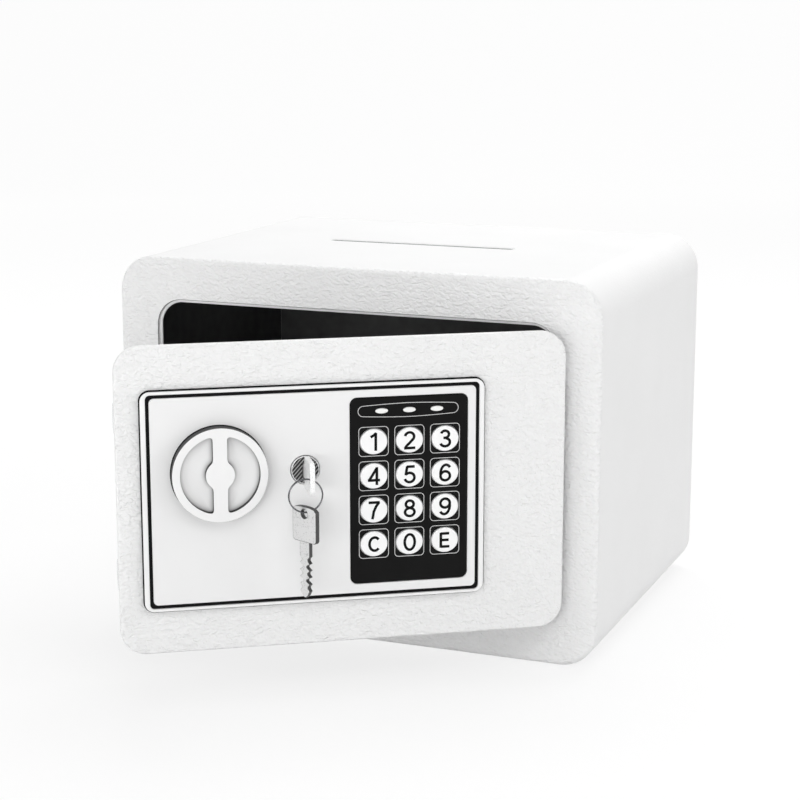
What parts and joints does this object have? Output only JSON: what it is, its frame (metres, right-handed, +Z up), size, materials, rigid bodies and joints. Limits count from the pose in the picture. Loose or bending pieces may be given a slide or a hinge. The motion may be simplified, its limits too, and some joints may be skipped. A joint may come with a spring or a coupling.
{
  "type": "mini safe",
  "caption": "Small white steel safe with a rounded case, its door open, with a keypad panel, a turn knob with sliding bolts, a key lock and a deposit slot in the top.",
  "frame": {"origin": "centre of the case's footprint, on the surface that the safe stands on", "axes": "+X to the right as seen from the front, +Y from the front towards the back, +Z up"},
  "size_m": [0.23, 0.282, 0.17],
  "materials": {
    "white_coat": "textured white powder coat",
    "satin_white": "satin",
    "dark_plastic": "fine matt grain",
    "gloss_black": "gloss",
    "key_cap": "satin with a printed sign",
    "light_lens": "frosted",
    "circuit_board": "solder mask",
    "zinc_steel": "zinc plated",
    "bright_steel": "bright, finely scratched",
    "cell_wrap": "gloss wrap",
    "reset_red": "gloss"
  },
  "bodies": {
    "safe_body": {"body_shell": "white_coat", "front_frame": "white_coat", "back_plate": "white_coat", "hinge_bracket_top": "zinc_steel", "hinge_bracket_bottom": "zinc_steel", "hinge_pin_top": "bright_steel", "hinge_pin_bottom": "bright_steel"},
    "door": {"door_plate": "white_coat", "hinge_arm_top": "zinc_steel", "hinge_arm_bottom": "zinc_steel", "panel_tray": "dark_plastic", "bezel_ring": "satin_white", "face_panel": "satin_white", "keypad_plate": "gloss_black", "led_lens": "light_lens", "keypad_board": "circuit_board", "lock_chassis": "zinc_steel", "solenoid": "dark_plastic", "lock_housing": "zinc_steel", "inner_cover": "dark_plastic", "cover_screw_1": "zinc_steel", "cover_screw_2": "zinc_steel", "cover_screw_3": "zinc_steel", "cover_screw_4": "zinc_steel", "battery_tray": "dark_plastic", "battery_contact_upper": "bright_steel", "battery_contact_lower": "bright_steel", "battery_1": "cell_wrap", "battery_2": "cell_wrap", "battery_3": "cell_wrap", "battery_4": "cell_wrap"},
    "knob": {"turn_knob": "satin_white", "knob_shaft": "zinc_steel", "knob_crank": "zinc_steel"},
    "bolts": {"bolt_carrier": "zinc_steel", "bolt_upper": "bright_steel", "bolt_lower": "bright_steel"},
    "plunger": {"solenoid_plunger": "bright_steel"},
    "plug": {"lock_plug": "zinc_steel", "lock_cam": "zinc_steel"},
    "lock_key": {"lock_key": "bright_steel"},
    "key_ring": {"key_ring": "bright_steel"},
    "spare_key": {"spare_key": "bright_steel"},
    "battery_lid": {"battery_lid": "dark_plastic"},
    "reset_button": {"reset_button": "reset_red"},
    "key_1": {"key_1": "key_cap"},
    "key_2": {"key_2": "key_cap"},
    "key_3": {"key_3": "key_cap"},
    "key_4": {"key_4": "key_cap"},
    "key_5": {"key_5": "key_cap"},
    "key_6": {"key_6": "key_cap"},
    "key_7": {"key_7": "key_cap"},
    "key_8": {"key_8": "key_cap"},
    "key_9": {"key_9": "key_cap"},
    "key_c": {"key_c": "key_cap"},
    "key_0": {"key_0": "key_cap"},
    "key_e": {"key_e": "key_cap"}
  },
  "joints": [
    {"name": "door_swing", "type": "hinge", "parent": "safe_body", "child": "door", "pos_m": [0.10625, -0.077, 0.08525], "axis": [0, 0, 1], "range_deg": [-34, 61]},
    {"name": "knob_turn", "type": "hinge", "parent": "door", "child": "knob", "pos_m": [-0.01726, -0.1784, 0.09705], "axis": [-0.5592, 0.829, 0], "range_deg": [-90, 0]},
    {"name": "bolts_slide", "type": "slide", "parent": "door", "child": "bolts", "axis": [0.829, 0.5592, 0], "range_m": [-0.01414, 0]},
    {"name": "plunger_lift", "type": "slide", "parent": "door", "child": "plunger", "axis": [0, 0, 1], "range_m": [0, 0.0045]},
    {"name": "plug_turn", "type": "hinge", "parent": "door", "child": "plug", "pos_m": [0.01083, -0.15656, 0.0964], "axis": [-0.5592, 0.829, 0], "range_deg": [0, 90]},
    {"name": "lock_key_slide", "type": "slide", "parent": "plug", "child": "lock_key", "axis": [0.5592, -0.829, 0], "range_m": [0, 0.024]},
    {"name": "key_ring_swing", "type": "hinge", "parent": "lock_key", "child": "key_ring", "pos_m": [0.01927, -0.16908, 0.0959], "axis": [0.5592, -0.829, 0], "range_deg": [0, 42]},
    {"name": "spare_key_swing", "type": "hinge", "parent": "key_ring", "child": "spare_key", "pos_m": [0.01722, -0.17046, 0.08946], "axis": [0.5592, -0.829, 0], "range_deg": [-30, 20]},
    {"name": "battery_lid_slide", "type": "slide", "parent": "door", "child": "battery_lid", "axis": [0, 0, -1], "range_m": [0, 0.03]},
    {"name": "reset_press", "type": "slide", "parent": "door", "child": "reset_button", "axis": [0.5592, -0.829, 0], "range_m": [0, 0.0015], "stiffness_N_per_m": 300, "springref_m": -0.001},
    {"name": "key_1_press", "type": "slide", "parent": "door", "child": "key_1", "axis": [-0.5592, 0.829, 0], "range_m": [0, 0.0007], "stiffness_N_per_m": 500, "springref_m": -0.0006},
    {"name": "key_2_press", "type": "slide", "parent": "door", "child": "key_2", "axis": [-0.5592, 0.829, 0], "range_m": [0, 0.0007], "stiffness_N_per_m": 500, "springref_m": -0.0006},
    {"name": "key_3_press", "type": "slide", "parent": "door", "child": "key_3", "axis": [-0.5592, 0.829, 0], "range_m": [0, 0.0007], "stiffness_N_per_m": 500, "springref_m": -0.0006},
    {"name": "key_4_press", "type": "slide", "parent": "door", "child": "key_4", "axis": [-0.5592, 0.829, 0], "range_m": [0, 0.0007], "stiffness_N_per_m": 500, "springref_m": -0.0006},
    {"name": "key_5_press", "type": "slide", "parent": "door", "child": "key_5", "axis": [-0.5592, 0.829, 0], "range_m": [0, 0.0007], "stiffness_N_per_m": 500, "springref_m": -0.0006},
    {"name": "key_6_press", "type": "slide", "parent": "door", "child": "key_6", "axis": [-0.5592, 0.829, 0], "range_m": [0, 0.0007], "stiffness_N_per_m": 500, "springref_m": -0.0006},
    {"name": "key_7_press", "type": "slide", "parent": "door", "child": "key_7", "axis": [-0.5592, 0.829, 0], "range_m": [0, 0.0007], "stiffness_N_per_m": 500, "springref_m": -0.0006},
    {"name": "key_8_press", "type": "slide", "parent": "door", "child": "key_8", "axis": [-0.5592, 0.829, 0], "range_m": [0, 0.0007], "stiffness_N_per_m": 500, "springref_m": -0.0006},
    {"name": "key_9_press", "type": "slide", "parent": "door", "child": "key_9", "axis": [-0.5592, 0.829, 0], "range_m": [0, 0.0007], "stiffness_N_per_m": 500, "springref_m": -0.0006},
    {"name": "key_c_press", "type": "slide", "parent": "door", "child": "key_c", "axis": [-0.5592, 0.829, 0], "range_m": [0, 0.0007], "stiffness_N_per_m": 500, "springref_m": -0.0006},
    {"name": "key_0_press", "type": "slide", "parent": "door", "child": "key_0", "axis": [-0.5592, 0.829, 0], "range_m": [0, 0.0007], "stiffness_N_per_m": 500, "springref_m": -0.0006},
    {"name": "key_e_press", "type": "slide", "parent": "door", "child": "key_e", "axis": [-0.5592, 0.829, 0], "range_m": [0, 0.0007], "stiffness_N_per_m": 500, "springref_m": -0.0006}
  ],
  "couplings": [
    {"joint": "knob_turn", "follows": "bolts_slide", "rad_per_m": 111.07}
  ]
}
